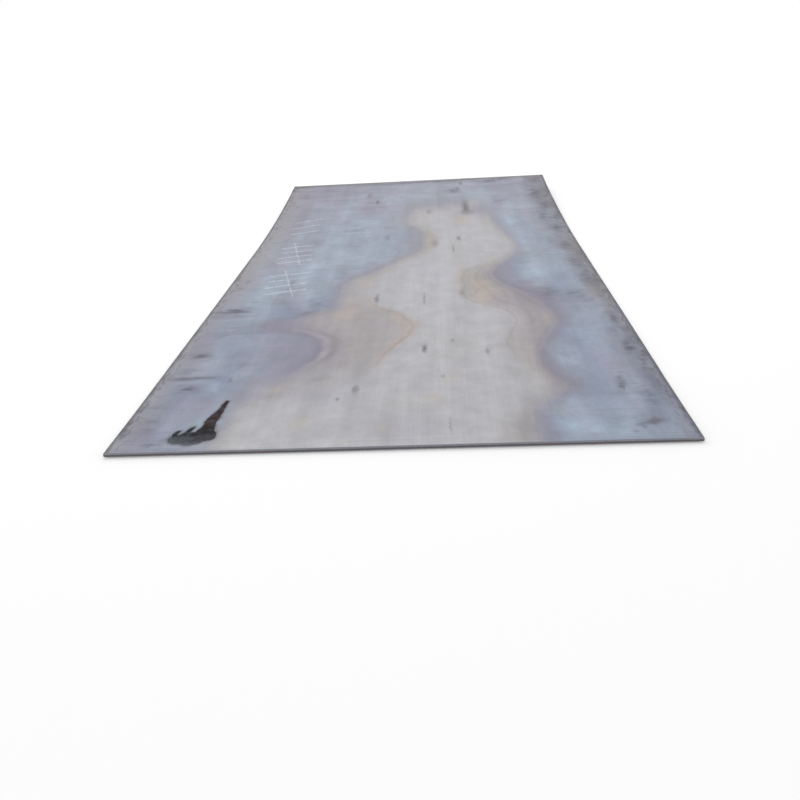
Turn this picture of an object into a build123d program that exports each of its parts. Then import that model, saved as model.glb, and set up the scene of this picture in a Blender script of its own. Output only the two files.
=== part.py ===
# Hot-rolled steel plate: one piece of stock, rolled to its width and cut to its length on a shear.
# Lengths are in millimetres. +X is across the plate, +Y runs from its near end to its far end, +Z is up.
# The origin is on the floor, under the middle of the plate.
# The plate lies unheld on a level floor. Its middle is flat, and both ends bow upward.

from build123d import *
from math import atan, degrees, sin
import os

# Stock size, with the length measured along the plate
plate_width = 1500.0
plate_length = 3000.0
plate_thickness = 10.0

# Mill edge: the rolls leave both long edges rounded, with a flat strip down their middle
mill_edge_radius = 3.0

# Bow of each end: the length of plate that rises, and the lift it reaches at the cut
near_bow_length = 450.0
near_bow_lift = 4.0
far_bow_length = 1250.0
far_bow_lift = 70.0

# Sheared end: one corner is drawn over, a smooth band follows, then the torn metal steps out to a lip
shear_rollover = 1.2
shear_smooth_band = 2.4
shear_step = 0.6
shear_lip = mill_edge_radius * 1.1


def bow_angle(length, lift):
    """Angle in radians that a length of plate turns through as it rises by this lift."""
    angle = 2 * lift / length
    for _ in range(20):
        angle = 2 * atan(lift * angle / (length * sin(angle)))
    return angle


near_bow_angle = bow_angle(near_bow_length, near_bow_lift)
far_bow_angle = bow_angle(far_bow_length, far_bow_lift)
near_bow_radius = near_bow_length / near_bow_angle
far_bow_radius = far_bow_length / far_bow_angle

# Footprint of the plate on the floor, end to end
flat_length = plate_length - near_bow_length - far_bow_length
near_bow_run = near_bow_radius * sin(near_bow_angle)
far_bow_run = far_bow_radius * sin(far_bow_angle)
flat_start = near_bow_run - (near_bow_run + flat_length + far_bow_run) / 2
flat_end = flat_start + flat_length

with BuildPart() as steel_plate:
    # Line of the underside, carried past both cuts by a trim
    trim = plate_thickness
    near_arc = degrees((near_bow_length + trim) / near_bow_radius)
    far_arc = degrees((far_bow_length + trim) / far_bow_radius)
    with BuildLine(Plane.YZ) as underside:
        near_bow = JernArc((flat_start, 0), (-1, 0), near_bow_radius, -near_arc)
        Line((flat_start, 0), (flat_end, 0))
        far_bow = JernArc((flat_end, 0), (1, 0), far_bow_radius, far_arc)

    # Rolled section, carried along that line
    with BuildSketch(Plane(origin=near_bow @ 1, x_dir=(1, 0, 0), z_dir=near_bow % 1)):
        with Locations((0, plate_thickness / 2)):
            RectangleRounded(plate_width, plate_thickness, mill_edge_radius)
    sweep(path=underside.wire())

    # Sheared ends. The lip is at the lower corner of the near cut and at the upper corner of the far cut
    near_share = near_bow_length / (near_bow_length + trim)
    far_share = far_bow_length / (far_bow_length + trim)
    near_outward, far_outward = near_bow % near_share, far_bow % far_share
    far_upward = Vector(0, -far_outward.Z, far_outward.Y)
    near_cut = Plane(near_bow @ near_share, x_dir=near_outward, z_dir=(-1, 0, 0))
    far_cut = Plane(far_bow @ far_share + far_upward * plate_thickness, x_dir=far_outward, z_dir=(-1, 0, 0))
    smooth_end = plate_thickness - shear_rollover
    smooth_start = smooth_end - shear_smooth_band
    rollover_end = (-shear_step - shear_rollover, plate_thickness + shear_rollover / 10)
    with BuildSketch(near_cut, far_cut):
        with BuildLine():
            Polyline(
                rollover_end,
                (-shear_step - shear_rollover, plate_thickness + trim),
                (2 * trim, plate_thickness + trim),
                (2 * trim, -trim),
                (0, -trim),
                (0, shear_lip),
                (-shear_step, smooth_start),
                (-shear_step, smooth_end),
            )
            TangentArc((-shear_step, smooth_end), rollover_end, tangent=(0, 1))
        make_face()
    extrude(amount=plate_width / 2 + trim, both=True, mode=Mode.SUBTRACT)

os.makedirs("parts", exist_ok=True)
steel_plate.part.label = "steel_plate"
export_step(steel_plate.part, "parts/steel_plate.step")
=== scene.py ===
import math
import random

import bpy
import numpy as np
from mathutils import Matrix, Vector


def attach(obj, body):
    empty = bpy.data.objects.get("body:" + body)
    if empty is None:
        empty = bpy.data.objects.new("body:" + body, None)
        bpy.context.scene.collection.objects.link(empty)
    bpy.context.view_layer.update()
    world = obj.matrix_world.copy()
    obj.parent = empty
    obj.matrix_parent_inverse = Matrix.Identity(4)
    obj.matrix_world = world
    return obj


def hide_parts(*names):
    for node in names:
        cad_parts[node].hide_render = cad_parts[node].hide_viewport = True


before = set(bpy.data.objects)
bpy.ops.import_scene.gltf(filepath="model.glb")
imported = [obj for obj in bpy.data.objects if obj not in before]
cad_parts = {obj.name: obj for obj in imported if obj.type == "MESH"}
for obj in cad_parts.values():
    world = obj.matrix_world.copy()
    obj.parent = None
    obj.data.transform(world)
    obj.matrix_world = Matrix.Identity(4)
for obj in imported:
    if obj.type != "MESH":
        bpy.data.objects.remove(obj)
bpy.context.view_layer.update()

# Stock size and edge shapes, in metres, as the solid has them
WIDTH, LENGTH, THICKNESS = 1.5, 3.0, 0.010
MILL_RADIUS = 0.003
NEAR_BOW, NEAR_LIFT = 0.45, 0.004
FAR_BOW, FAR_LIFT = 1.25, 0.070
ROLLOVER, SMOOTH_BAND, STEP, LIP = 0.0012, 0.0024, 0.0006, 0.0033
half = WIDTH / 2

# What the solid leaves out: how far the cuts and mill edges wander, and how wavy the sheet is.
# The waves die out over these stretches at the two ends, down to a share of them at the near end.
CUT_WANDER, EDGE_WANDER, SHEET_WAVE = 0.00025, 0.0006, 0.0007
CALM_NEAR, CALM_FAR, CALM_SHARE = 0.1, 0.4, 0.2
# Least wander of a cut, as a share, and the stretch over which the grid bends to follow a cut's shape
CUT_FLOOR, CUT_REACH = 0.1, 0.003
# An edge's wander falls off inward with this power of the distance from the middle
EDGE_FALL = 8

# Grid spacing: rows at the cuts, rows by the ends and in front, columns by the mill edges, and all the rest
CUT_STEP, FINE_STEP, SIDE_STEP, WIDE_STEP = 0.002, 0.009, 0.007, 0.0125
# How far in from its edge each of these reaches: rows at the cuts, bands by all edges, and the front
CUT_ROWS, EDGE_BAND, FRONT_STRETCH = 0.006, 0.06, 0.70


def srgb(red, green, blue):
    """Linear colour of an 8-bit display colour."""
    parts = [v / 255 for v in (red, green, blue)]
    return [p / 12.92 if p <= 0.04045 else ((p + 0.055) / 1.055) ** 2.4 for p in parts] + [1.0]


# Side view of the underside: an arc, a flat and an arc, tangent to each other
def bow_angle(length, lift):
    """Angle of an arc of this length whose far end rises by lift."""
    angle = 2 * lift / length
    for _ in range(20):
        angle = 2 * math.atan(lift * angle / (length * math.sin(angle)))
    return angle


near_angle, far_angle = bow_angle(NEAR_BOW, NEAR_LIFT), bow_angle(FAR_BOW, FAR_LIFT)
near_radius, far_radius = NEAR_BOW / near_angle, FAR_BOW / far_angle
flat = LENGTH - NEAR_BOW - FAR_BOW
near_run, far_run = near_radius * math.sin(near_angle), far_radius * math.sin(far_angle)
flat_start = near_run - (near_run + flat + far_run) / 2


def side_view(along, height):
    """y and z of a point this far along the underside and this high above it."""
    near = np.clip(NEAR_BOW - along, 0, None) / near_radius
    far = np.clip(along - NEAR_BOW - flat, 0, None) / far_radius
    middle = np.clip(along, NEAR_BOW, NEAR_BOW + flat) - NEAR_BOW
    y = flat_start + middle - (near_radius - height) * np.sin(near) + (far_radius - height) * np.sin(far)
    z = height + (near_radius - height) * (1 - np.cos(near)) + (far_radius - height) * (1 - np.cos(far))
    return y, z


def on_plate(s, d):
    """x and y in the shared frame of a point this far along and this far from the left edge."""
    return d - half, float(side_view(np.array(s), THICKNESS)[0])


def shear_profile(rise):
    """How far a sheared face stands back from its lip, by height above the lip's corner."""
    top = THICKNESS - ROLLOVER
    back = np.interp(rise, [LIP, top - SMOOTH_BAND], [0.0, STEP])
    over = np.clip((rise - top) / ROLLOVER, 0, 1)
    return back + ROLLOVER * (1 - np.sqrt(np.clip(1 - over**2, 0, 1)))


def waves(count, longest, shortest, seed):
    """A smooth seeded random function of two variables, between about -1 and 1. Shorter waves are weaker."""
    rng = random.Random(seed)
    terms = []
    for i in range(count):
        length = longest * (shortest / longest) ** (i / max(count - 1, 1))
        turn = rng.uniform(0, math.tau)
        terms.append((math.tau / length * math.cos(turn), math.tau / length * math.sin(turn),
                      rng.uniform(0, math.tau), (length / longest) ** 0.7))
    total = sum(t[3] for t in terms) * 0.6
    return lambda a, b: sum(w * np.sin(p * a + q * b + o) for p, q, o, w in terms) / total


def spread(marks, steps):
    """Positions from mark to mark, with the given spacing in each stretch."""
    out = [marks[0]]
    for a, b, step in zip(marks, marks[1:], steps):
        n = max(1, round((b - a) / step))
        out += [a + (b - a) * (k + 1) / n for k in range(n)]
    return np.array(out)


# Grid lines: across the width, along the length, and as shares of the thickness
rounding = [half - MILL_RADIUS * (1 - math.sin(math.radians(a))) for a in range(15, 91, 15)]
inner = spread([-half + MILL_RADIUS, -half + EDGE_BAND, half - EDGE_BAND, half - MILL_RADIUS],
               [SIDE_STEP, WIDE_STEP, SIDE_STEP])
columns = np.array([-v for v in reversed(rounding)] + list(inner) + rounding)
rows = spread([0, CUT_ROWS, EDGE_BAND, FRONT_STRETCH, LENGTH - EDGE_BAND, LENGTH - CUT_ROWS, LENGTH],
              [CUT_STEP, FINE_STEP, FINE_STEP, WIDE_STEP, FINE_STEP, CUT_STEP])
levels = [0, 0.02, 0.05, 0.085, 0.12, 0.22, 0.33, 0.44, 0.56, 0.67, 0.78, 0.88, 0.915, 0.95, 0.98, 1]

warp = waves(7, 1.9, 0.45, 11)
edge_left, edge_right = waves(9, 1.1, 0.05, 21), waves(9, 1.3, 0.05, 22)
cut_near, cut_far = waves(8, 0.9, 0.04, 23), waves(8, 0.9, 0.04, 24)


def place(x, s, share):
    """Coordinates of grid points. share runs from 0 at the underside to 1 at the top."""
    inset = np.clip(np.abs(x) - (half - MILL_RADIUS), 0, MILL_RADIUS)
    drop = MILL_RADIUS - np.sqrt(MILL_RADIUS**2 - inset**2)
    height = drop + (THICKNESS - 2 * drop) * share
    # The cut ends, each standing back from its lip
    near_end = shear_profile(height) + CUT_WANDER * np.clip(1 + cut_near(x, 0 * x), CUT_FLOOR, None)
    far_end = shear_profile(THICKNESS - height) + CUT_WANDER * np.clip(1 + cut_far(x, 0 * x), CUT_FLOOR, None)
    fit = np.where(s < CUT_REACH, near_end + (CUT_REACH - near_end) * s / CUT_REACH, s)
    from_far = LENGTH - s
    fit = np.where(from_far < CUT_REACH, LENGTH - far_end - (CUT_REACH - far_end) * from_far / CUT_REACH, fit)
    y, z = side_view(fit, height)
    # The mill edges wander a little, and the sheet is not dead flat
    left = np.clip(-x / half, 0, 1) ** EDGE_FALL * EDGE_WANDER * np.clip(1 + edge_left(s, 0 * s), 0, None)
    right = np.clip(x / half, 0, 1) ** EDGE_FALL * EDGE_WANDER * np.clip(1 + edge_right(s, 0 * s), 0, None)
    calm = np.clip((LENGTH - s) / CALM_FAR, 0, 1) * np.clip(s / CALM_NEAR + CALM_SHARE, 0, 1)
    lift = SHEET_WAVE * np.clip(1 + warp(x, y), 0, None) * calm
    return np.stack([x + left - right, y, z + lift], -1)


last_i, last_j, last_k = len(columns) - 1, len(rows) - 1, len(levels) - 1
vertices, index = [], {}
for i, x in enumerate(columns):
    for j, s in enumerate(rows):
        rim = i in (0, last_i) or j in (0, last_j)
        for k, share in enumerate(levels):
            if rim or k in (0, last_k):
                index[i, j, k] = len(vertices)
                vertices.append((x, s, share))
grid = np.array(vertices)
points = place(grid[:, 0], grid[:, 1], grid[:, 2])

SKIN, MILL_EDGE, CUT_END = 0, 1, 2
faces, kinds = [], []


def face(kind, *corners):
    """One face between grid points, with the finish of its kind."""
    faces.append([index[corner] for corner in corners])
    kinds.append(kind)


for i in range(last_i):
    for j in range(last_j):
        face(SKIN, (i, j, last_k), (i + 1, j, last_k), (i + 1, j + 1, last_k), (i, j + 1, last_k))
        face(SKIN, (i, j + 1, 0), (i + 1, j + 1, 0), (i + 1, j, 0), (i, j, 0))
for k in range(last_k):
    for j in range(last_j):
        face(MILL_EDGE, (0, j, k), (0, j, k + 1), (0, j + 1, k + 1), (0, j + 1, k))
        face(MILL_EDGE, (last_i, j, k), (last_i, j + 1, k), (last_i, j + 1, k + 1), (last_i, j, k + 1))
    for i in range(last_i):
        face(CUT_END, (i, 0, k), (i + 1, 0, k), (i + 1, 0, k + 1), (i, 0, k + 1))
        face(CUT_END, (i, last_j, k + 1), (i + 1, last_j, k + 1), (i + 1, last_j, k), (i, last_j, k))

mesh = bpy.data.meshes.new("plate")
mesh.from_pydata(points.tolist(), [], faces)
mesh.polygons.foreach_set("material_index", kinds)
mesh.update()
plate = bpy.data.objects.new("plate", mesh)
bpy.context.scene.collection.objects.link(plate)
print("triangles", sum(len(f) - 2 for f in faces), "box", points.min(0), points.max(0))

# Smooth shading everywhere but along the corners of the cut ends
mesh.shade_smooth()
mesh.set_sharp_from_angle(angle=math.radians(35))

# Colour zones of the scale. Points are (metres along, metres from the left edge), read off the photo.
# The outer lines bound the blue sides, the inner lines bound the pale middle, with a tan zone between them.
LEFT_OUTER = [(0, .26), (.10, .272), (.26, .285), (.36, .30), (.42, .33), (.47, .40), (.53, .455),
              (.62, .472), (.72, .45), (.775, .38), (.815, .29), (.86, .25), (.905, .28), (.96, .37),
              (1.04, .44), (1.12, .48), (1.25, .47), (1.33, .495), (1.42, .57), (1.52, .635), (1.62, .70),
              (1.70, .76), (1.82, .79), (2.02, .80), (2.12, .75), (2.20, .70), (2.30, .69), (2.42, .72),
              (2.6, .76), (3.0, .80)]
LEFT_INNER = [(0, .31), (.20, .34), (.30, .43), (.37, .57), (.44, .645), (.58, .685), (.65, .72),
              (.73, .765), (.80, .777), (.88, .757), (.94, .71), (1.0, .655), (1.06, .61), (1.14, .585),
              (1.26, .575), (1.36, .61), (1.46, .67), (1.58, .735), (1.68, .80), (1.80, .85), (1.96, .86),
              (2.08, .83), (2.18, .78), (2.30, .77), (2.42, .80), (2.6, .84), (3.0, .88)]
RIGHT_OUTER = [(0, 1.12), (.12, 1.125), (.20, 1.14), (.25, 1.19), (.29, 1.225), (.34, 1.225), (.40, 1.19),
               (.50, 1.175), (.60, 1.19), (.68, 1.23), (.75, 1.26), (.84, 1.28), (.92, 1.27), (1.0, 1.25),
               (1.08, 1.24), (1.14, 1.20), (1.20, 1.135), (1.28, 1.10), (1.37, 1.09), (1.46, 1.12),
               (1.54, 1.17), (1.64, 1.21), (1.78, 1.22), (1.96, 1.19), (2.14, 1.16), (2.28, 1.13),
               (2.42, 1.11), (2.6, 1.10), (3.0, 1.09)]
RIGHT_INNER = [(0, 1.04), (.12, 1.05), (.20, 1.08), (.28, 1.15), (.36, 1.155), (.44, 1.12), (.54, 1.095),
               (.68, 1.08), (.76, 1.10), (.83, 1.14), (.90, 1.12), (.97, 1.06), (1.03, .985), (1.10, .96),
               (1.20, .96), (1.32, .965), (1.42, .99), (1.50, 1.06), (1.58, 1.13), (1.68, 1.18),
               (1.80, 1.195), (1.94, 1.165), (2.10, 1.13), (2.24, 1.09), (2.42, 1.06), (2.6, 1.04),
               (3.0, 1.02)]
# Metres to one zone number beyond either line, and the least distance taken between the two
FRINGE, LEAST_GAP = 0.12, 0.02
# Where the blue of the sides closes round the middle's far end, the fades before and past it, and its sway
TIP, TIP_START, TIP_FADE = 2.55, 0.13, 0.35
TIP_SWAY, TIP_SQUEEZE = 0.05, 2.2
# Highest zone number, and the x that parts the left side's lines from the right side's
LAST_ZONE, SPLIT_X = 7, 0.2
# Strengths along the left and right zones: inner line, contours, double line by the outer line, rim tints
LEFT_FIRST = [(0, 0), (.36, 0), (.55, .6), (.66, 1), (.92, 1), (1.1, .3), (1.3, 0), (3, 0)]
RIGHT_FIRST = [(0, 0), (.45, .1), (.6, .7), (1.0, .8), (1.38, 1), (1.55, .2), (1.8, 0), (3, 0)]
LEFT_LINES = [(0, 0), (.4, .1), (.6, .25), (1.0, .25), (1.2, .1), (3, .1)]
RIGHT_LINES = [(0, .1), (.5, .2), (.9, .45), (1.05, 1), (1.38, 1), (1.6, .2), (3, .1)]
LEFT_ARCS = [(0, 0), (.42, .05), (.50, .3), (.57, 1), (.74, 1), (.82, .4), (.92, .15), (1.15, .1), (3, .05)]
RIGHT_ARCS = [(0, .2), (.8, .35), (1.05, .7), (1.38, .6), (1.6, .2), (3, .05)]
LEFT_RIM = [(0, .15), (.25, .2), (.42, .45), (.55, .9), (1.0, .9), (1.12, .6), (1.6, .65), (2.0, .6),
            (2.2, .35), (3, .1)]
RIGHT_RIM = [(0, .9), (.5, .8), (.8, .9), (1.35, 1), (1.6, .45), (2.1, .3), (2.3, .15), (3, .1)]

# Soft patches read off the photo: along, from the left edge, half length, half width, strength
PATCHES = {
    "deep_blue": [
        (.33, .13, .10, .05, .6), (.80, .17, .12, .05, .2), (1.30, 1.26, .03, .05, .6),
        (.14, 1.43, .12, .035, .55), (.38, .19, .13, .06, .75), (.62, .20, .20, .07, .45),
        (1.12, .41, .11, .05, .7), (.98, .30, .10, .08, .7), (1.05, .46, .06, .03, .6),
        (.60, 1.30, .22, .05, .5), (1.42, 1.20, .14, .04, .6), (1.25, 1.33, .25, .05, .6),
        (.30, 1.30, .12, .06, .5), (1.75, .60, .20, .08, .1), (2.17, .29, .05, .05, .45),
        (.10, 1.16, .12, .02, .5)],
    "steel_blue": [
        (.345, .18, .05, .03, .7), (1.45, .17, .10, .06, .6), (1.50, .32, .18, .08, .7),
        (1.95, .35, .20, .08, .5), (2.55, .22, .16, .05, .5), (.18, .24, .05, .04, .4),
        (1.15, .37, .11, .07, .6), (1.38, .38, .12, .05, .5), (1.75, .40, .16, .06, .4),
        (2.18, .50, .18, .09, 1), (1.25, .19, .22, .05, .7), (2.17, 1.22, .10, .05, .8),
        (1.62, .50, .12, .10, .5), (2.50, .37, .24, .04, .7), (.10, 1.20, .13, .09, 1),
        (.05, 1.32, .10, .05, .6), (.52, 1.24, .10, .04, .6), (.70, 1.34, .14, .05, .4),
        (1.40, 1.27, .15, .07, .9), (1.90, 1.27, .38, .04, .7), (2.66, .72, .09, .20, .5),
        (2.70, 1.10, .12, .12, .5), (1.62, .20, .10, .04, .4)],
    "violet": [
        (.62, .36, .18, .10, 1), (.84, .31, .06, .09, 1.2), (.50, .53, .09, .05, .35),
        (1.52, .56, .12, .05, .35), (1.10, 1.235, .11, .05, 1), (1.38, 1.145, .10, .035, .7),
        (2.20, 1.16, .22, .03, .35), (.31, .30, .05, .09, .45), (.31, .50, .05, .08, .4),
        (1.23, 1.20, .06, .06, .9), (2.36, 1.03, .06, .06, .8), (.41, .33, .05, .08, .35),
        (.41, .50, .04, .06, .35), (2.06, .27, .14, .06, .5), (2.56, 1.0, .12, .03, .6),
        (2.75, .98, .06, .04, .6), (2.45, .30, .25, .07, .35), (2.52, .50, .17, .07, .7),
        (2.40, 1.08, .12, .05, .8), (1.95, .72, .16, .05, .4), (.20, .10, .22, .07, .5),
        (.70, .07, .26, .05, .8), (2.35, .16, .35, .09, .7), (2.80, .30, .20, .24, .95),
        (2.75, 1.25, .16, .10, .5), (.42, 1.19, .14, .02, .7), (.10, 1.125, .13, .02, .8),
        (.55, 1.42, .28, .05, .4), (.45, .62, .10, .05, .25), (.10, .72, .10, .08, .3),
        (2.55, .90, .12, .16, .35)],
    "warm": [
        (.35, .38, .035, .025, .45), (.12, .49, .045, .03, .5), (.27, .855, .028, .028, .6),
        (.41, .89, .035, .025, .45), (.10, .70, .035, .022, .4), (1.00, .53, .10, .05, .5),
        (1.31, .58, .06, .03, .5), (1.88, .83, .14, .028, 1), (1.15, 1.03, .15, .035, .85),
        (1.33, .96, .16, .025, .65), (.83, 1.25, .04, .02, .7), (2.25, .985, .10, .035, 1),
        (1.02, 1.465, .10, .012, .9), (.40, 1.475, .06, .010, .7), (2.16, 1.09, .12, .03, .25),
        (2.30, .82, .10, .07, .2), (1.11, 1.46, .07, .03, .8), (1.60, 1.45, .05, .02, .6),
        (.80, 1.46, .03, .015, .5), (1.55, 1.09, .06, .025, .45), (.18, 1.175, .03, .03, .35),
        (.27, .62, .03, .02, .2)],
    "dirt": [
        (.045, .11, .016, .016, .7), (.12, .085, .012, .02, .4), (.165, .075, .012, .03, .4),
        (.25, .06, .012, .03, .4), (.345, .105, .020, .032, .9), (.422, .11, .018, .08, .9),
        (.61, .08, .024, .042, .9), (.70, .06, .012, .03, .4), (1.018, .09, .028, .068, 1),
        (.775, .12, .035, .022, .35), (1.30, .05, .03, .03, .5), (1.08, .40, .05, .05, .35),
        (.98, .36, .035, .05, .35), (.085, 1.405, .018, .034, .9), (.31, 1.367, .05, .010, .7),
        (.22, 1.428, .09, .014, .45), (.58, 1.455, .06, .014, .9), (.44, 1.47, .06, .010, .7),
        (.82, 1.445, .045, .014, .8), (1.07, 1.375, .04, .028, .9), (1.08, 1.27, .075, .045, .6),
        (1.05, 1.465, .08, .012, .5), (1.27, 1.455, .12, .018, .45), (1.45, 1.425, .07, .022, .8),
        (1.70, 1.43, .05, .022, .8), (2.03, 1.435, .05, .024, .9), (2.24, 1.41, .08, .026, .9),
        # The entries at 2.95 and 2.97 along lay a darker strip across the far end
        (2.43, 1.43, .06, .022, .9), (2.66, 1.40, .13, .03, .9), (2.95, 1.21, .03, .10, .9),
        (2.97, .10, .025, .14, .7), (2.97, .75, .02, .5, .5), (.30, 1.455, .10, .012, .45),
        (2.78, .96, .05, .03, .5), (2.55, 1.21, .08, .04, .35), (1.88, .48, .12, .05, .25),
        (2.12, .47, .02, .06, .45), (2.80, .10, .05, .04, .45), (2.38, 1.03, .05, .03, .4),
        (2.50, .22, .05, .02, .3)],
}
# How far the outlines of the patches stray, along and across
STRAY_ALONG, STRAY_ACROSS = 0.03, 0.018
# Where the underside's pattern starts, as a share of the length, and its scale along it
UNDER_START, UNDER_SCALE = 0.97, 0.93


def soft_line(points, reach=0.02):
    """A line through the points, with its corners rounded off and its last stretch carried on."""
    step, before, after, bell_steps = 0.005, 0.2, 0.4, 12
    at = np.arange(-before, LENGTH + after, step)
    s, d = np.array(points).T
    slope = (d[-1] - d[-2]) / (s[-1] - s[-2])
    value = np.interp(at, s, d) + np.clip(at - s[-1], 0, None) * slope
    bell = np.exp(-0.5 * (np.arange(-bell_steps, bell_steps + 1) * step / reach) ** 2)
    return lambda where: np.interp(where, at, np.convolve(value, bell / bell.sum(), "same"))


left_outer, left_inner = soft_line(LEFT_OUTER), soft_line(LEFT_INNER)
right_outer, right_inner = soft_line(RIGHT_OUTER), soft_line(RIGHT_INNER)
tip_line, drift_s, drift_d = waves(6, 0.8, 0.15, 31), waves(12, 0.6, 0.05, 32), waves(12, 0.5, 0.04, 33)


def zone(s, d):
    """Zone numbers, then the strengths of the first line, contours, double line and rim at the same points.

    The number is 0 in the pale middle, 1 at the inner lines, 2 at the outer lines and more toward the edges.
    """
    depths = []
    for outward, outer, inner in ((-1, left_outer(s), left_inner(s)), (1, right_outer(s), right_inner(s))):
        out, gap = (d - outer) * outward, np.maximum((outer - inner) * outward, LEAST_GAP)
        within = np.where(out > -gap, 2 + out / gap, 1 + (out + gap) / FRINGE)
        depths.append(np.where(out > 0, 2 + out / FRINGE, within))
    on_left = depths[0] > depths[1]
    strengths = [np.where(on_left, np.interp(s, *zip(*left)), np.interp(s, *zip(*right))) for left, right in (
        (LEFT_FIRST, RIGHT_FIRST), (LEFT_LINES, RIGHT_LINES), (LEFT_ARCS, RIGHT_ARCS), (LEFT_RIM, RIGHT_RIM))]
    past_tip = s + TIP_SWAY * tip_line(s, TIP_SQUEEZE * d) - TIP
    tip = 2 + past_tip / np.where(past_tip < 0, TIP_START, TIP_FADE)
    return np.clip(np.maximum(np.maximum(*depths), tip), 0, LAST_ZONE), *strengths


def patches(items, s, d):
    """The strongest patch at each point, with ragged outlines."""
    s, d = s + STRAY_ALONG * drift_s(s, d), d + STRAY_ACROSS * drift_d(s, d)
    best = 0 * s
    for s_at, d_at, long_by, wide_by, strength in items:
        best = np.maximum(best, strength * np.exp(-((s - s_at) / long_by) ** 2 - ((d - d_at) / wide_by) ** 2))
    return best


def store(name, values):
    mesh.attributes.new(name, "FLOAT", "POINT").data.foreach_set("value", values)


is_top = grid[:, 2] > 0.5
# The underside has the same kind of tints, laid out the other way round
s_tint = np.where(is_top, grid[:, 1], LENGTH * UNDER_START - grid[:, 1] * UNDER_SCALE)
d_tint = np.where(is_top, grid[:, 0] + half, half - grid[:, 0])
for name, values in zip(("zone", "first", "lines", "arcs", "rim"), zone(s_tint, d_tint)):
    store(name, values)
for name, items in PATCHES.items():
    store(name, patches(items, s_tint, d_tint))
# Height through the thickness, counted from the lip side of each cut
store("rise", np.where(grid[:, 1] < LENGTH / 2, grid[:, 2], 1 - grid[:, 2]))


class Tree:
    """A node tree with its shader, and short calls for the nodes used here."""

    def __init__(self, owner, shader):
        owner.use_nodes = True
        self.nodes, self.links = owner.node_tree.nodes, owner.node_tree.links
        self.shader = self.nodes[shader]

    def node(self, kind, inputs=(), **settings):
        node = self.nodes.new(kind)
        for key, value in settings.items():
            setattr(node, key, value)
        for key, value in dict(inputs).items():
            self.feed(node.inputs[key], value)
        return node

    def feed(self, socket, value):
        if isinstance(value, bpy.types.NodeSocket):
            self.links.new(value, socket)
        elif value is not None:
            socket.default_value = value

    def dress(self, finish):
        """Feeds the shader's sockets by name."""
        for name, value in finish.items():
            self.feed(self.shader.inputs[name], value)

    def math(self, operation, a, b=None, c=None, clamp=False):
        node = self.node("ShaderNodeMath", operation=operation, use_clamp=clamp)
        for socket, value in zip(node.inputs, (a, b, c)):
            self.feed(socket, value)
        return node.outputs[0]

    def fold(self, operation, values):
        """One number out of many, by the same operation again and again."""
        best, *others = values
        for other in others:
            best = self.math(operation, best, other)
        return best

    def times(self, *factors):
        return self.fold("MULTIPLY", factors)

    def vector(self, operation, a, b=None, scale=None):
        node = self.node("ShaderNodeVectorMath", operation=operation)
        self.feed(node.inputs[0], a)
        self.feed(node.inputs[1], b)
        if scale is not None:
            self.feed(node.inputs["Scale"], scale)
        return node.outputs["Value" if operation in ("LENGTH", "DOT_PRODUCT") else "Vector"]

    def span(self, value, low, high, to_low=0.0, to_high=1.0, kind="SMOOTHSTEP"):
        """The value's stretch from low to high, brought to the stretch from to_low to to_high."""
        node = self.node("ShaderNodeMapRange", interpolation_type=kind)
        for key, v in enumerate((value, low, high, to_low, to_high)):
            self.feed(node.inputs[key], v)
        return node.outputs[0]

    def swing(self, noise, low, high):
        """Noise brought evenly to the stretch from low to high."""
        return self.span(noise, 0.3, 0.7, low, high, "LINEAR")

    def wobble(self, noise, size):
        """Noise brought round zero, this far from its lowest to its highest."""
        return self.math("MULTIPLY_ADD", noise, size, -size / 2)

    def mix(self, share, a, b, blend="MIX"):
        node = self.node("ShaderNodeMix", data_type="RGBA", blend_type=blend)
        for key, v in zip((0, 6, 7), (share, a, b)):
            self.feed(node.inputs[key], v)
        return node.outputs[2]

    def paint(self, colour, over, *shares):
        """The colour with an 8-bit display colour laid over it, by the product of the shares."""
        return self.mix(self.times(*shares), colour, srgb(*over))

    def stain(self, colour, by, *shares):
        """The colour multiplied by another, by the product of the shares."""
        return self.mix(self.times(*shares), colour, by, "MULTIPLY")

    def shade(self, colour, tone):
        """The colour made darker or lighter by a factor."""
        grey = self.node("ShaderNodeCombineColor", {0: tone, 1: tone, 2: tone}).outputs[0]
        return self.stain(colour, grey, 1.0)

    def ramp(self, value, marks):
        """Colours by value, between marks of a place and a colour each."""
        node = self.node("ShaderNodeValToRGB", {"Fac": value})
        elements = node.color_ramp.elements
        while len(elements) < len(marks):
            elements.new(0.5)
        for element, (at, colour) in zip(elements, marks):
            element.position, element.color = at, colour
        return node.outputs["Color"]

    def seen_ray(self):
        """1 for rays from the camera and those it sends on by gloss or through glass."""
        ray = self.node("ShaderNodeLightPath").outputs
        return self.fold("MAXIMUM", (ray["Is Camera Ray"], ray["Is Glossy Ray"], ray["Is Transmission Ray"]))


# Shares of a noise's offset that go to x, y and z
OFFSET_SHARES = 1, 1.7, 0.6


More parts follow.
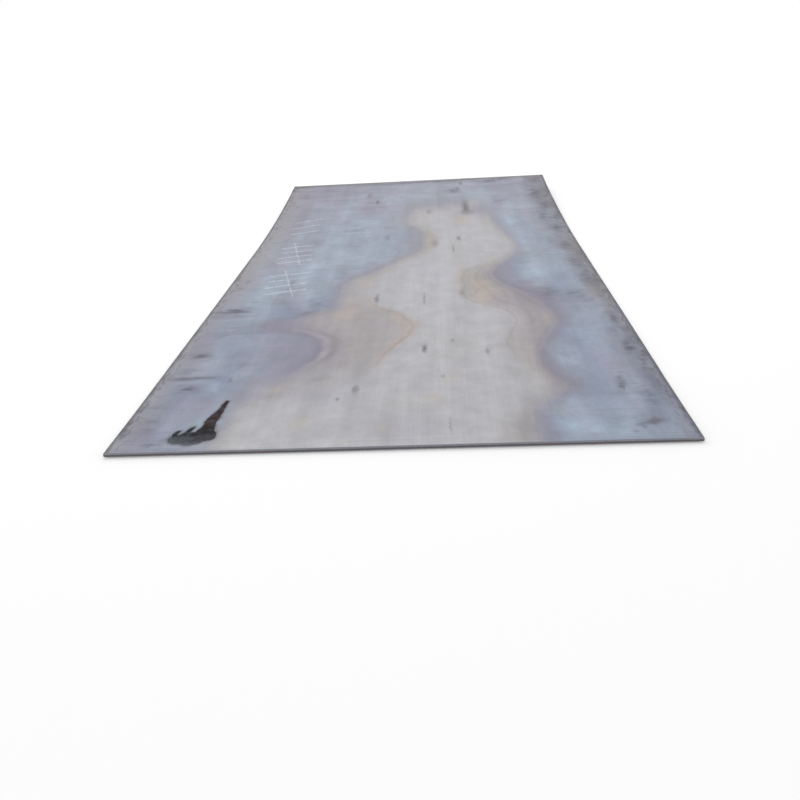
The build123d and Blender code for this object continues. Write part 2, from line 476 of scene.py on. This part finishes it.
class Surface(Tree):
    """A material's tree, with object coordinates."""

    def __init__(self, name):
        self.material = bpy.data.materials.new(name)
        super().__init__(self.material, "Principled BSDF")
        self.where = self.node("ShaderNodeTexCoord").outputs["Object"]

    def stored(self, name):
        return self.node("ShaderNodeAttribute", attribute_name=name).outputs["Fac"]

    def cloud(self, where, scale, detail, roughness, distortion=0.0):
        """Outputs of a noise at a place."""
        return self.node("ShaderNodeTexNoise", {
            "Vector": where, "Scale": scale, "Detail": detail, "Roughness": roughness,
            "Distortion": distortion}).outputs

    def noise(self, scale, detail=3.0, roughness=0.55, distortion=0.0, stretch=None, offset=0.0):
        where = self.where
        if stretch or offset:
            where = self.node("ShaderNodeMapping", {
                "Vector": where, "Scale": stretch or (1, 1, 1),
                "Location": [offset * share for share in OFFSET_SHARES]}).outputs[0]
        return self.cloud(where, scale, detail, roughness, distortion)["Fac"]

    def cells(self, scale):
        """Distance to the middle of the nearest cell, and that cell's random number."""
        cell = self.node("ShaderNodeTexVoronoi", {
            "Vector": self.where, "Scale": scale, "Randomness": 1.0}).outputs
        return cell["Distance"], self.node("ShaderNodeSeparateColor", {"Color": cell["Color"]}).outputs[0]

    def shaken(self, plan, scale, detail, roughness, amount):
        """The place in plan, moved about by noise."""
        push = self.cloud(self.where, scale, detail, roughness)["Color"]
        push = self.vector("SUBTRACT", push, (0.5, 0.5, 0.5))
        return self.vector("ADD", plan, self.vector("SCALE", push, scale=amount))

    def rod(self, where, ends, thick_a, thick_b):
        """Distance in plan from a rod whose half width goes from thick_a to thick_b.

        ends holds its two ends, each as metres along and metres from the left edge.
        """
        (ax, ay), (bx, by) = on_plate(*ends[:2]), on_plate(*ends[2:])
        run = self.vector("SUBTRACT", where, (ax, ay, 0))
        along_rod = self.math("DIVIDE", self.vector("DOT_PRODUCT", run, (bx - ax, by - ay, 0)),
                              max((bx - ax) ** 2 + (by - ay) ** 2, 1e-9), clamp=True)
        foot = self.vector("SCALE", (bx - ax, by - ay, 0), scale=along_rod)
        away = self.vector("LENGTH", self.vector("SUBTRACT", run, foot))
        return self.math("SUBTRACT", away, self.span(along_rod, 0, 1, thick_a, thick_b, "LINEAR"))

    def bump(self, height, depth, strength):
        node = self.node("ShaderNodeBump", {"Height": height, "Distance": depth, "Strength": strength})
        self.feed(self.shader.inputs["Normal"], node.outputs[0])


def marks_of(last, *pairs):
    """Marks for a ramp, from places up to last and 8-bit display colours."""
    return [(at / last, srgb(*colour)) for at, colour in pairs]


# Short dark dashes of rolled-in scale: along, from the left edge, half length, half width, depth of tone
DASHES = [(.33, .616, .034, .013, .85), (.27, .570, .014, .008, .6), (.61, .814, .042, .011, .95),
          (1.10, .626, .060, .012, .75), (1.08, .808, .085, .007, .65), (.57, 1.012, .034, .009, .6),
          (.40, .872, .016, .009, .45), (.67, .905, .018, .009, .5), (1.13, .950, .040, .012, .6),
          (1.91, .964, .050, .013, .75), (1.74, .934, .090, .007, .6), (2.46, 1.018, .140, .024, .95),
          (2.36, 1.005, .045, .020, .5), (2.80, .985, .05, .016, .75), (2.62, .534, .050, .014, .8),
          (2.76, .960, .045, .030, .6), (2.75, .480, .060, .020, .5), (2.91, 1.006, .045, .014, .7),
          (1.98, .620, .060, .016, .4), (1.84, .850, .085, .022, .5), (.10, .885, .050, .004, .35),
          (.42, .226, .030, .008, .5), (1.32, .262, .050, .013, .35), (2.40, .820, .060, .018, .45),
          (.085, 1.40, .020, .013, .6), (.29, 1.368, .022, .008, .7), (.35, 1.374, .016, .007, .6),
          (.06, 1.37, .010, .008, .5), (.04, 1.345, .012, .006, .4)]
# Oil spill near the front left corner, as rods that taper: ends along and from the left edge, two half widths
SPILL = [(.063, .173, .065, .205, .026, .036), (.066, .205, .078, .242, .038, .034),
         (.082, .163, .106, .167, .010, .007), (.084, .191, .130, .197, .012, .006),
         (.092, .258, .093, .266, .010, .005), (.085, .236, .172, .241, .026, .017),
         (.172, .241, .272, .254, .018, .009)]
# Chalk tally: strokes and the longer strokes that cross them, with ends along and from the left edge
STROKES = [(1.20, .17, 1.25, .33), (1.28, .16, 1.33, .32), (1.36, .16, 1.40, .31), (1.43, .15, 1.47, .31),
           (1.62, .15, 1.66, .29), (1.70, .14, 1.74, .28), (1.78, .14, 1.82, .27), (1.86, .13, 1.90, .27),
           (2.10, .13, 2.15, .26), (2.20, .12, 2.25, .25), (2.30, .12, 2.36, .25)]
CROSSINGS = [(1.17, .29, 1.51, .20), (1.59, .25, 1.95, .17)]
STROKE_HALF_WIDTH, CROSSING_HALF_WIDTH = 0.005, 0.0025
# Scratches, with ends as above, and their half width at each end
SCRATCHES = [(.30, 1.01, .52, 1.04), (1.05, .34, 1.28, .38), (1.80, 1.35, 2.12, 1.33), (.52, .62, .66, .59),
             (2.05, .73, 2.42, .75)]
SCRATCH_HALF_WIDTHS = 0.0003, 0.0006


class Skin(Surface):
    """The broad faces' tree, with places on the plate and noises that several functions share."""

    def __init__(self):
        super().__init__("mill_scale")
        self.x, self.y, _ = self.node("ShaderNodeSeparateXYZ", {"Vector": self.where}).outputs
        self.plan = self.node("ShaderNodeCombineXYZ", {"X": self.x, "Y": self.y}).outputs[0]
        facing = self.node("ShaderNodeNewGeometry").outputs["Normal"]
        self.on_top = self.span(self.node("ShaderNodeSeparateXYZ", {"Vector": facing}).outputs[2], -0.2, 0.2)
        self.on_left = self.math("LESS_THAN", self.x, SPLIT_X)
        self.from_left = self.math("ADD", self.x, half)
        self.from_right = self.math("SUBTRACT", half, self.x)
        self.from_near = self.math("ADD", self.y, LENGTH / 2)
        self.from_far = self.math("SUBTRACT", LENGTH / 2, self.y)
        self.from_side = self.math("MINIMUM", self.from_left, self.from_right)
        self.cloud_noise = self.noise(14, 6, 0.65)
        self.fine_noise = self.noise(1, 5, 0.7, stretch=(170, 2.2, 1))
        self.shaken_plan = self.shaken(self.plan, 60.0, 3.0, 0.5, 0.016)
        # The zone, whose lines sway and flutter, but less where the left double line is strong
        sway, flutter = self.wobble(self.noise(6, 3, 0.5), 0.44), self.wobble(self.noise(38, 4, 0.6), 0.16)
        steady = self.math("MULTIPLY_ADD", self.times(self.stored("arcs"), self.on_left), -0.65, 1.0)
        zone_number = self.math("MULTIPLY_ADD", self.math("ADD", sway, flutter), steady, self.stored("zone"))
        self.zone_at = self.math("DIVIDE", zone_number, LAST_ZONE, clamp=True)
        self.blue_sides = self.in_zone(2.0, 2.8)
        self.ragged = self.wobble(self.noise(11, 5, 0.65, stretch=(1, 0.5, 1)), 0.16)

    def in_zone(self, low, high, to_low=0.0, to_high=1.0):
        """A step up or down between two zone numbers."""
        return self.span(self.zone_at, low / LAST_ZONE, high / LAST_ZONE, to_low, to_high)

    def zone_colours(self, *pairs):
        """Display colours by zone number."""
        return self.ramp(self.zone_at, marks_of(LAST_ZONE, *pairs))

    def zone_factors(self, *pairs):
        """Colour factors by zone number."""
        return self.ramp(self.zone_at, [(at / LAST_ZONE, (*colour, 1.0)) for at, colour in pairs])


def zone_tints(t):
    """Tints of the zones, with strong or faint rims, contour lines and a double line by the outer lines."""
    strong = t.zone_colours(
        (0.0, (173, 172, 177)), (0.6, (172, 171, 176)), (1.0, (168, 165, 167)), (1.25, (159, 154, 156)),
        (1.65, (153, 147, 150)), (1.85, (144, 138, 146)), (2.0, (130, 126, 141)), (2.15, (128, 127, 143)),
        (2.45, (135, 140, 156)), (3.0, (139, 149, 166)), (4.5, (141, 150, 166)), (7.0, (140, 147, 163)))
    faint = t.zone_colours(
        (0.0, (173, 172, 177)), (0.7, (172, 171, 176)), (1.2, (168, 167, 171)), (1.7, (161, 161, 167)),
        (2.1, (150, 153, 165)), (2.6, (142, 150, 165)), (4.5, (141, 150, 166)), (7.0, (140, 147, 163)))
    orange = t.zone_factors(
        (0.80, (1, 1, 1)), (0.90, (1, .96, .90)), (0.96, (.97, .88, .78)), (1.0, (.77, .70, .66)),
        (1.04, (.97, .87, .77)), (1.10, (1, .95, .89)), (1.18, (1, 1, 1)))
    grey = t.zone_factors(
        (0.91, (1, 1, 1)), (0.97, (.92, .90, .90)), (1.0, (.78, .76, .77)), (1.04, (.92, .89, .89)),
        (1.12, (1, 1, 1)))
    contours = t.zone_factors(
        (1.10, (1, 1, 1)), (1.17, (.94, .91, .89)), (1.23, (1, 1, 1)),
        (1.32, (1, 1, 1)), (1.40, (.88, .83, .81)), (1.48, (1, 1, 1)),
        (1.58, (1, 1, 1)), (1.64, (.93, .90, .89)), (1.70, (1, 1, 1)))
    double_line = t.zone_factors(
        (1.68, (1, 1, 1)), (1.765, (.84, .81, .82)), (1.80, (.80, .78, .79)), (1.84, (.96, .95, .95)),
        (1.90, (1, 1, 1)), (1.95, (.90, .88, .90)), (1.99, (.83, .82, .85)), (2.06, (.90, .90, .92)),
        (2.35, (1, 1, 1)))
    colour = t.mix(t.stored("rim"), faint, strong)
    wear = t.span(t.noise(7, 2, 0.5), 0.25, 0.6, 0.5, 1.0)
    first = t.mix(t.on_left, grey, orange)
    for name, line in (("first", first), ("lines", contours), ("arcs", double_line)):
        colour = t.stain(colour, line, t.stored(name), wear)
    # The pale gap in the left double line
    gap = t.zone_factors((1.83, (0, 0, 0)), (1.88, (1, 1, 1)), (1.91, (1, 1, 1)), (1.96, (0, 0, 0)))
    colour = t.paint(colour, (167, 160, 163), gap, t.stored("arcs"), t.on_left, wear, 0.5)
    # From the middle of the plate onward, the left side's rim is grey
    grey_rim = t.times(t.in_zone(1.6, 1.95), t.in_zone(2.2, 2.7, 1.0, 0.0))
    return t.paint(colour, (143, 145, 150), grey_rim, t.span(t.y, -0.2, 0.2), t.on_left, 0.5)


def cloudy_tints(t, colour):
    """Clouds in the pale middle, a loose drift of the blue sides, marks across them, and patches."""
    clouds = t.noise(1, 5, 0.6, distortion=0.5, stretch=(7, 3.2, 1), offset=11.0)
    colour = t.stain(colour, (.955, .94, .99, 1), t.span(clouds, 0.50, 0.66, 0.0, 0.55))
    colour = t.stain(colour, (.985, .975, .92, 1), t.span(clouds, 0.47, 0.34, 0.0, 0.4))
    # The sides drift between violet, grey and a paler blue
    drift = t.noise(1, 5, 0.62, distortion=0.4, stretch=(5.5, 2.6, 1))
    colour = t.paint(colour, (162, 169, 183), t.span(drift, 0.52, 0.70), t.blue_sides, 0.65)
    colour = t.paint(colour, (126, 128, 146), t.span(drift, 0.48, 0.34), t.blue_sides, 0.7)
    violet = t.span(t.noise(1, 5, 0.65, stretch=(9, 4, 1), offset=7.3), 0.50, 0.66)
    colour = t.paint(colour, (152, 145, 162), violet, t.blue_sides, 0.55)
    # Toward the far end the blue sides turn paler: partly a paler lavender tint, partly painted sheen
    # standing in for the glancing view
    colour = t.paint(colour, (153, 151, 164), t.span(t.y, 0.5, 1.2), t.blue_sides, 0.45)
    marks_across = t.span(t.noise(1, 4, 0.6, stretch=(3.5, 30, 1), offset=9.1), 0.52, 0.70, 0.0, 0.26)
    colour = t.paint(colour, (96, 100, 122), marks_across, t.blue_sides)
    # Patches, with cloudy outlines
    breakup = t.span(t.cloud_noise, 0.3, 0.65, 0.55, 1.15, "LINEAR")
    for name, strength, over in (("deep_blue", 0.9, (115, 128, 154)), ("steel_blue", 0.75, (157, 174, 191)),
                                 ("violet", 0.85, (131, 126, 145)), ("warm", 0.55, (174, 158, 136))):
        colour = t.paint(colour, over, t.stored(name), breakup, strength)
    return colour


def streaks(t, colour):
    """Rolling streaks along the length, broad and fine, cloudy tones, smears on the sides, and pits."""
    broad = t.swing(t.noise(1, 4, 0.6, stretch=(11, 0.7, 1)), 0.945, 1.155)
    fine = t.swing(t.fine_noise, 0.95, 1.05)
    cloud = t.swing(t.cloud_noise, 0.875, 1.125)
    grain = t.swing(t.noise(1, 4, 0.75, stretch=(650, 26, 1)), 0.975, 1.025)
    smear = t.math("SUBTRACT", t.noise(1, 5, 0.6, stretch=(13, 9, 1), offset=6.6), 0.5)
    band = t.math("SUBTRACT", t.noise(1, 4, 0.6, stretch=(2.2, 13, 1), offset=12.3), 0.5)
    smear = t.math("MULTIPLY_ADD", smear, 0.42, t.times(band, t.span(t.y, 0.3, 1.2, 0.0, 0.5)))
    smear = t.math("MULTIPLY_ADD", smear, t.blue_sides, 1.0)
    colour = t.shade(colour, t.times(broad, fine, cloud, grain, smear))
    distance, luck = t.cells(150.0)
    pit_size = t.span(luck, 0.55, 1.0, -0.12, 0.26, "LINEAR")
    pit = t.span(t.math("SUBTRACT", distance, pit_size), -0.06, 0.05, 0.34, 0.0)
    return t.paint(colour, (92, 90, 96), pit, t.span(t.noise(5, 3, 0.6, offset=3.7), 0.40, 0.62, 0.25, 1.0))


def margins(t, colour):
    """Violet grey on the left, darker and then browner on the right, darker along the far end."""
    left = t.span(t.math("ADD", t.from_left, t.ragged), 0.015, t.span(t.from_near, 0.9, 1.5, 0.10, 0.18),
                  t.span(t.from_near, 0.9, 1.5, 0.6, 0.85), 0.0)
    colour = t.paint(colour, (147, 143, 149), left)
    right = t.span(t.math("ADD", t.from_right, t.ragged), 0.01, t.span(t.from_near, 0.8, 2.3, 0.095, 0.185),
                   t.span(t.from_near, 0.5, 1.4, 0.78, 0.92), 0.0)
    mottle = t.span(t.noise(9, 4, 0.6, stretch=(1, 0.6, 1), offset=5.5), 0.38, 0.6, 0.6, 1.05)
    dark = t.mix(t.span(t.from_near, 0.3, 1.1), srgb(116, 120, 136), srgb(108, 106, 113))
    colour = t.mix(t.times(right, mottle), colour, dark)
    # A darker strip along the far end, with a ragged inner line
    far = t.span(t.math("ADD", t.from_far, t.ragged), 0.0, 0.08, 0.8, 0.0)
    return t.paint(colour, (126, 121, 124), far)


def dirt_and_rims(t, colour):
    """Blotches and crumbs of dirt, rubbed rims with a dark outline, and marks near the front."""
    blotch = t.span(t.noise(16, 6, 0.7, stretch=(1, 0.45, 1), offset=3.1), 0.54, 0.66)
    edge_band = t.span(t.math("MINIMUM", t.from_right, t.math("ADD", t.from_left, 0.03)), 0.03,
                       t.span(t.from_near, 0.6, 1.5, 0.10, 0.20), 1.0, 0.0)
    crumbs = t.span(t.noise(38, 6, 0.62, stretch=(0.5, 1.2, 1), offset=1.2), 0.38, 0.58, 0.3, 1.3)
    # The stored dirt patches also hold the darker strip across the far end
    grime = t.math("MAXIMUM", t.times(blotch, edge_band, 0.65), t.times(t.stored("dirt"), crumbs))
    colour = t.paint(colour, (80, 80, 96), grime, 0.85)
    rubbing = t.noise(1, 5, 0.65, stretch=(75, 20, 1), offset=4.4)
    rim = t.span(t.from_side, 0.010, 0.050, 1.0, 0.0)
    colour = t.paint(colour, (76, 74, 82), t.span(rubbing, 0.50, 0.60), rim, 0.6)
    colour = t.paint(colour, (166, 160, 156), t.span(rubbing, 0.46, 0.36), rim, 0.32)
    outline = t.span(t.math("ADD", t.from_side, t.times(t.ragged, 0.12)), 0.003, 0.020, 0.75, 0.0)
    colour = t.paint(colour, (78, 76, 82), outline)
    # Faint lines parallel to the near end
    end_lines = t.swing(t.noise(1, 3, 0.6, stretch=(1.5, 170, 1), offset=10.3), 0.88, 1.14)
    colour = t.mix(t.span(t.from_near, 0.01, 0.08, 0.9, 0.0), colour, t.shade(colour, end_lines))
    # Smudges that cross the left margin near the front, where the plate lay against rollers
    smudge = t.span(t.noise(1, 4, 0.6, stretch=(5, 22, 1), offset=1.9), 0.56, 0.68)
    by_the_left, in_front = t.span(t.from_left, 0.12, 0.26, 1.0, 0.0), t.span(t.from_near, 1.0, 1.4, 1.0, 0.0)
    return t.paint(colour, (104, 107, 124), smudge, by_the_left, in_front, 0.42)


def rolled_in(t, colour):
    """Specks where scale has flaked off, dashes of scale rolled in along the length, and scratches."""
    distance, luck = t.cells(34.0)
    speck = t.math("LESS_THAN", distance, t.span(luck, 0.86, 1.0, 0.0, 0.085, "LINEAR"))
    colour = t.paint(colour, (96, 94, 98), speck, t.span(t.noise(2.2, 2, 0.5, offset=5.0), 0.42, 0.6), 0.55)
    dark = 0.0
    for s_at, d_at, long_by, wide_by, depth in DASHES:
        away = t.vector("SUBTRACT", t.shaken_plan, (*on_plate(s_at, d_at), 0))
        reach = t.vector("LENGTH", t.vector("MULTIPLY", away, (1 / wide_by, 1 / long_by, 0)))
        dark = t.math("MAXIMUM", dark, t.span(reach, 0.1, 1.25, depth, 0.0))
    colour = t.paint(colour, (92, 90, 93), dark, t.on_top, t.span(t.fine_noise, 0.3, 0.6, 0.45, 1.0))
    nearest = t.fold("MINIMUM", [t.rod(t.plan, ends, *SCRATCH_HALF_WIDTHS) for ends in SCRATCHES])
    broken = t.span(t.noise(25, 3, 0.5, offset=2.0), 0.42, 0.58)
    scratch = t.times(t.span(nearest, -0.0003, 0.0009, 1.0, 0.0), broken, t.on_top)
    return t.paint(colour, (196, 196, 200), scratch, 0.28)


def rust_bloom(t):
    """Light rust, mostly toward the edges but kept off the near end."""
    near_edge = t.math("MINIMUM", t.from_side, t.from_far)
    bloom = t.math("ADD", t.noise(30, 8, 0.75, offset=8.0), t.span(near_edge, 0.0, 0.16, 0.10, -0.04))
    return t.times(t.span(bloom, 0.66, 0.76), t.span(t.from_near, 0.02, 0.15, 0.1, 1.0))


def chalk_tally(t):
    """Chalk strokes, broken up by the grain of the skin."""
    rods = [t.rod(t.shaken_plan, ends, STROKE_HALF_WIDTH, STROKE_HALF_WIDTH) for ends in STROKES]
    rods += [t.rod(t.shaken_plan, ends, CROSSING_HALF_WIDTH, CROSSING_HALF_WIDTH) for ends in CROSSINGS]
    nearest = t.fold("MINIMUM", rods)
    broken = t.span(t.noise(160, 4, 0.7, stretch=(1, 0.4, 1)), 0.36, 0.54)
    return t.times(t.span(nearest, -0.002, 0.003, 1.0, 0.0), broken, t.on_top)


def oil_spill(t, colour):
    """The colour with the spill on it, and the spill's body.

    A clear film lies around a dark, brushed body, which turns reddish along its tail.
    """
    flow = t.shaken(t.plan, 28.0, 4.0, 0.45, 0.022)
    nearest = t.fold("MINIMUM", [t.rod(flow, rod[:4], *rod[4:]) for rod in SPILL])
    film = t.times(t.span(nearest, -0.004, 0.010, 1.0, 0.0), t.on_top)
    body = t.times(t.span(nearest, -0.0045, 0.0015, 1.0, 0.0), t.on_top,
                   t.span(t.noise(55, 5, 0.6, offset=4.0), 0.30, 0.62, 0.84, 1.0),
                   t.span(t.from_near, 0.030, 0.060, 0.62, 1.0))
    brushed = t.span(t.noise(1, 4, 0.6, stretch=(190, 22, 1), offset=13.4), 0.42, 0.60)
    inside = t.mix(t.span(t.from_left, 0.160, 0.225), srgb(84, 93, 96), srgb(62, 62, 67))
    inside = t.paint(inside, (38, 37, 42), brushed, 0.55)
    inside = t.paint(inside, (18, 15, 18), t.span(t.from_near, 0.066, 0.092, 0, 0.9))
    inside = t.paint(inside, (38, 9, 9), t.span(t.from_near, 0.11, 0.14))
    colour = t.paint(colour, (82, 84, 90), film, 0.55)
    return t.mix(t.times(body, 0.97), colour, inside), body


def mill_scale():
    """Oxide skin of both broad faces."""
    t = Skin()
    colour = cloudy_tints(t, zone_tints(t))
    colour = margins(t, streaks(t, colour))
    colour = rolled_in(t, dirt_and_rims(t, colour))
    rust, chalk = rust_bloom(t), chalk_tally(t)
    colour = t.paint(colour, (126, 102, 88), rust, 0.45)
    colour = t.paint(colour, (214, 218, 228), chalk, 0.7)
    colour, oil = oil_spill(t, colour)
    cloudy, streaky = t.span(t.cloud_noise, 0.3, 0.7, 0.36, 0.48), t.span(t.fine_noise, 0.3, 0.7, -0.03, 0.03)
    rough = t.math("ADD", t.math("ADD", cloudy, streaky), t.times(t.math("MAXIMUM", rust, chalk), 0.3))
    rough = t.math("MAXIMUM", rough, t.times(oil, 0.95))
    t.dress({"Base Color": colour, "Roughness": rough, "Metallic": 0.1, "IOR": 1.5,
             "Specular IOR Level": 0.3})
    # Relief: rolling lines, fine pitting and gentle unevenness
    pitting, uneven = t.noise(420, 4, 0.6), t.noise(26, 5, 0.6)
    relief = t.math("MULTIPLY_ADD", t.fine_noise, 0.5, t.times(pitting, 0.25))
    t.bump(t.math("MULTIPLY_ADD", uneven, 0.6, relief), 0.0005, 0.45)
    return t.material


def mill_edge():
    """The rounded long edges: dark scale with rolling laps along them and rust between."""
    t = Surface("mill_edge")
    laps = t.noise(1, 5, 0.65, stretch=(400, 3, 900))
    patch = t.noise(18, 6, 0.7)
    colour = t.mix(t.span(patch, 0.35, 0.65), srgb(96, 95, 102), srgb(124, 122, 128))
    colour = t.paint(colour, (78, 75, 78), t.span(laps, 0.35, 0.7))
    rust = t.span(t.noise(1, 8, 0.75, stretch=(30, 14, 260), offset=6.0), 0.50, 0.66)
    colour = t.mix(t.times(rust, 0.65), colour, t.mix(patch, srgb(96, 66, 50), srgb(150, 102, 68)))
    t.dress({"Base Color": colour, "Roughness": t.span(rust, 0, 1, 0.5, 0.8), "Metallic": 0.15})
    t.bump(t.math("MULTIPLY_ADD", rust, 0.4, t.math("ADD", laps, t.noise(350, 4, 0.6))), 0.0006, 0.6)
    return t.material


def cut_end():
    """A sheared face: drawn-over corner, smooth band with blade lines, then torn metal down to the lip."""
    t = Surface("cut_end")
    blade = t.noise(1, 4, 0.7, stretch=(900, 40, 18))
    torn = t.noise(520, 6, 0.75)
    wander = t.wobble(t.noise(1, 4, 0.6, stretch=(60, 1, 1)), 0.30)
    at = t.math("ADD", t.stored("rise"), wander, clamp=True)
    band = t.ramp(at, marks_of(
        1, (0.0, (124, 123, 128)), (0.05, (88, 87, 92)), (0.30, (84, 83, 88)), (0.44, (100, 100, 106)),
        (0.54, (120, 121, 128)), (0.62, (132, 134, 143)), (0.86, (134, 136, 146)), (0.93, (128, 131, 141)),
        (1.0, (130, 133, 144))))
    smooth = t.span(at, 0.52, 0.64)
    colour = t.shade(band, t.swing(blade, 0.86, 1.14))
    below_band = t.math("SUBTRACT", 0.7, t.times(smooth, 0.7))
    colour = t.paint(colour, (58, 54, 54), t.span(torn, 0.45, 0.7), below_band)
    rust = t.span(t.noise(1, 7, 0.75, stretch=(26, 26, 160), offset=2.5), 0.50, 0.64)
    rust = t.times(rust, t.span(smooth, 0, 1, 0.32, 0.10))
    colour = t.mix(rust, colour, t.mix(torn, srgb(104, 68, 46), srgb(158, 108, 70)))
    rough = t.math("ADD", t.span(smooth, 0, 1, 0.62, 0.42), t.times(rust, 0.3))
    t.dress({"Base Color": colour, "Roughness": rough, "Metallic": t.times(smooth, 0.3)})
    height = t.times(t.math("ADD", torn, t.noise(150, 4, 0.6)), t.span(smooth, 0, 1, 1.0, 0.12))
    t.bump(t.math("MULTIPLY_ADD", t.times(blade, smooth), 0.25, height), 0.0008, 0.8)
    return t.material


for material in (mill_scale(), mill_edge(), cut_end()):
    mesh.materials.append(material)

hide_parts("steel_plate")
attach(plate, "root")

# Floor, which fades out into the white surround between two radii and glows a little where the camera sees it
FLOOR_RADIUS, FADE_FROM, FADE_TO, FLOOR_GLOW = 14, 2.0, 5.0, 0.15
bpy.ops.mesh.primitive_circle_add(vertices=96, radius=FLOOR_RADIUS, fill_type="NGON")
floor = bpy.context.object
floor.name = "floor"
paper = Surface("floor")
from_middle = paper.vector("LENGTH", paper.where)
paper.dress({"Base Color": (0.93, 0.93, 0.93, 1), "Roughness": 0.9, "Specular IOR Level": 0.0,
             "Alpha": paper.span(from_middle, FADE_FROM, FADE_TO, 1.0, 0.0),
             "Emission Color": (1, 1, 1, 1), "Emission Strength": paper.times(paper.seen_ray(), FLOOR_GLOW)})
floor.data.materials.append(paper.material)

# Camera, where the photo's stood to the plate. The sensor and lens are in millimetres, the place in metres
# and the turns in degrees.
SENSOR, LENS = 36, 33.3
CAMERA_PLACE = 0.1213, -3.0747, 0.9557
PITCH, YAW, ROLL = 27.257, 3.844, -3.518
camera = bpy.data.objects.new("camera", bpy.data.cameras.new("camera"))
bpy.context.scene.collection.objects.link(camera)
camera.data.sensor_width = SENSOR
camera.data.lens = LENS
pitch, yaw, roll = (math.radians(a) for a in (PITCH, YAW, ROLL))
forward = Vector((-math.sin(yaw) * math.cos(pitch), math.cos(yaw) * math.cos(pitch), -math.sin(pitch)))
level_right = Vector((math.cos(yaw), math.sin(yaw), 0))
level_up = level_right.cross(forward)
right = math.cos(roll) * level_right + math.sin(roll) * level_up
up = -math.sin(roll) * level_right + math.cos(roll) * level_up
camera.matrix_world = Matrix.Translation(CAMERA_PLACE) @ Matrix((right, up, -forward)).transposed().to_4x4()
bpy.context.scene.camera = camera

# Light: an even white surround, which the camera sees as plain white, and one soft lamp
SURROUND_STRENGTH = 0.80
world = bpy.data.worlds.new("world")
bpy.context.scene.world = world
air = Tree(world, "Background")
strength = air.span(air.seen_ray(), 0, 1, SURROUND_STRENGTH, 1.0, "LINEAR")
air.dress({"Color": (1, 1, 1, 1), "Strength": strength})

LAMP_SIZE, LAMP_ENERGY, LAMP_PLACE = (4, 2.5), 62, Vector((-1.2, 2.2, 5.0))
lamp_data = bpy.data.lights.new("lamp", "AREA")
lamp_data.shape = "RECTANGLE"
lamp_data.size, lamp_data.size_y = LAMP_SIZE
lamp_data.energy = LAMP_ENERGY
lamp = bpy.data.objects.new("lamp", lamp_data)
bpy.context.scene.collection.objects.link(lamp)
lamp.location = LAMP_PLACE
lamp.rotation_euler = (-LAMP_PLACE).to_track_quat("-Z", "Y").to_euler()

view = bpy.context.scene.view_settings
view.view_transform = "Standard"
